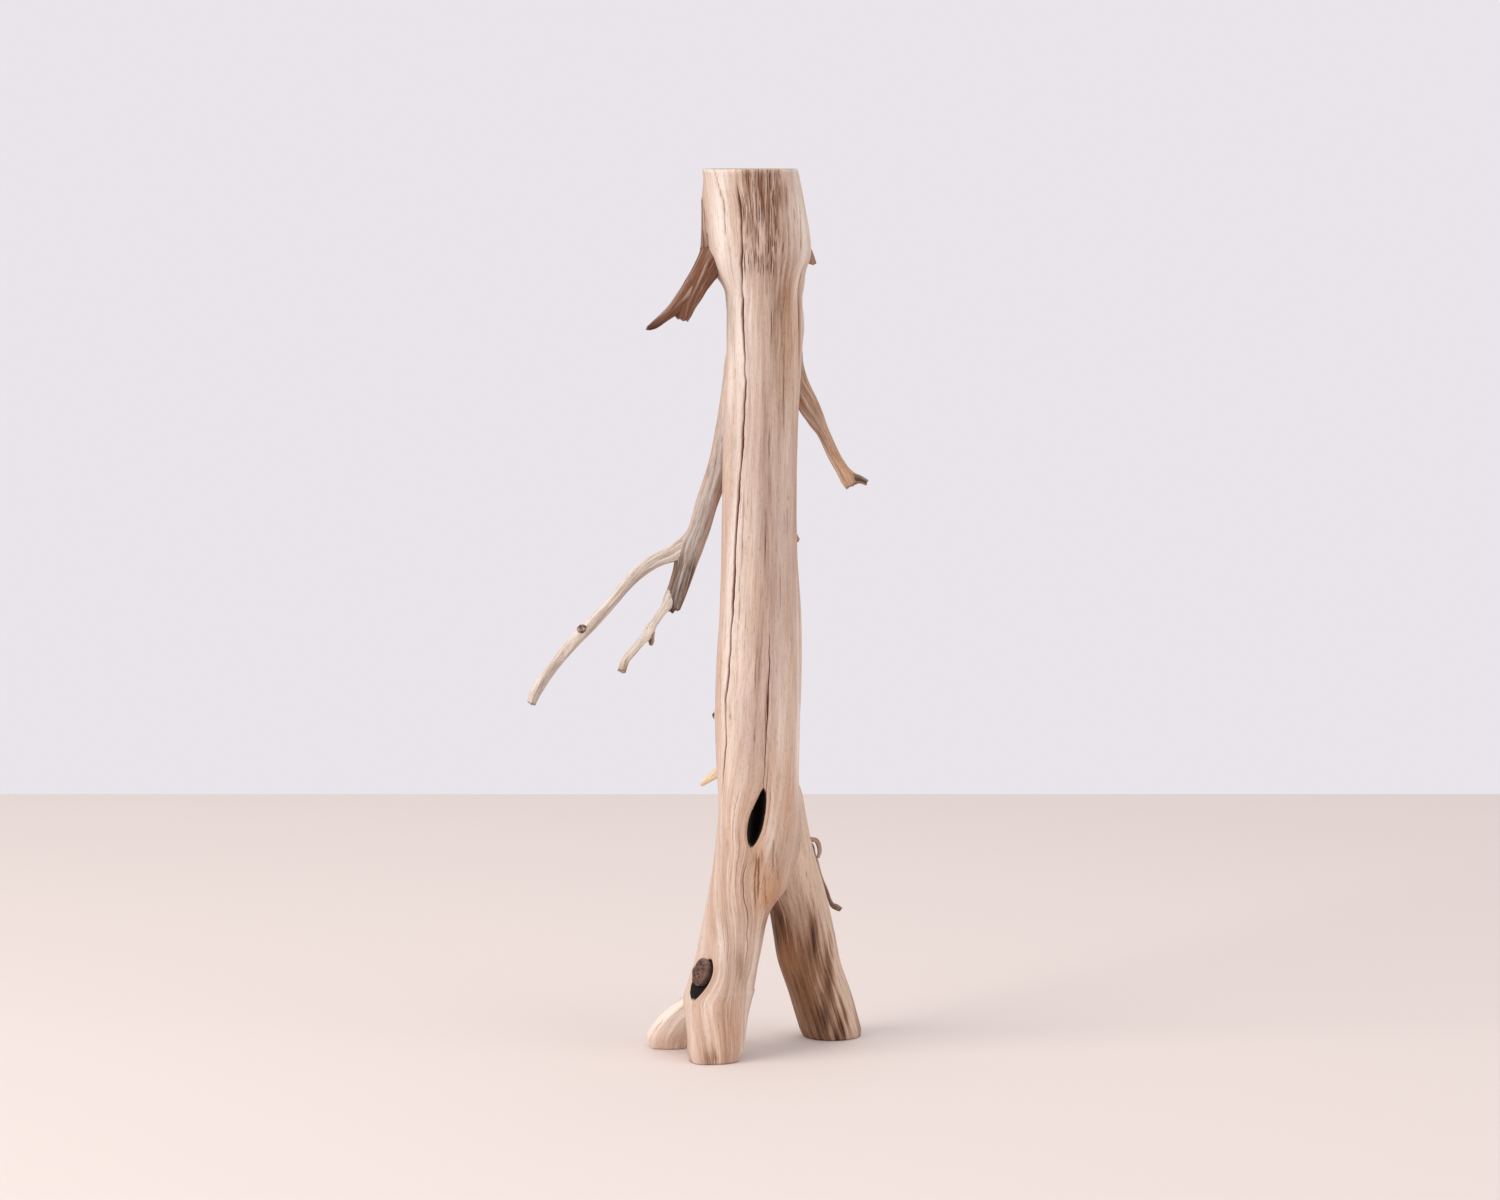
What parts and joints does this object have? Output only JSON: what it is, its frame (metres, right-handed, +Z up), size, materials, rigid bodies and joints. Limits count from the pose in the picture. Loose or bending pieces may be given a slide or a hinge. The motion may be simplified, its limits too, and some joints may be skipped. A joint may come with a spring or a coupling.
{
  "type": "driftwood standing figure",
  "caption": "Bare standing driftwood figure: a sawn-off forked stem on three feet, with knotted side limbs, drying cracks and two hollows.",
  "frame": {"origin": "middle of the figure's bounding box, on the floor under its feet", "axes": "+X to the right of the front view, +Y to the back, +Z up along the stem"},
  "size_m": [0.1456, 0.0806, 0.38],
  "materials": {
    "trunk_wood": "weathered, matt",
    "leg_wood": "weathered, matt",
    "limb_wood": "weathered, silver-grey",
    "twig_wood": "weathered, matt",
    "knot_wood": "dry, matt"
  },
  "bodies": {
    "root": {"trunk": "trunk_wood", "rear_leg": "leg_wood", "left_arm": "limb_wood", "right_arm": "limb_wood", "shoulder_stub": "limb_wood", "left_arm_long_twig": "limb_wood", "left_arm_short_twig": "limb_wood", "back_twig": "twig_wood", "rear_leg_twig": "twig_wood", "bark_curl": "twig_wood", "right_arm_hook": "limb_wood", "right_shoulder_spur": "knot_wood", "right_side_spur": "knot_wood", "left_side_bud": "twig_wood", "dead_knot": "knot_wood", "long_twig_knob": "limb_wood", "short_twig_spur": "limb_wood"}
  },
  "joints": []
}
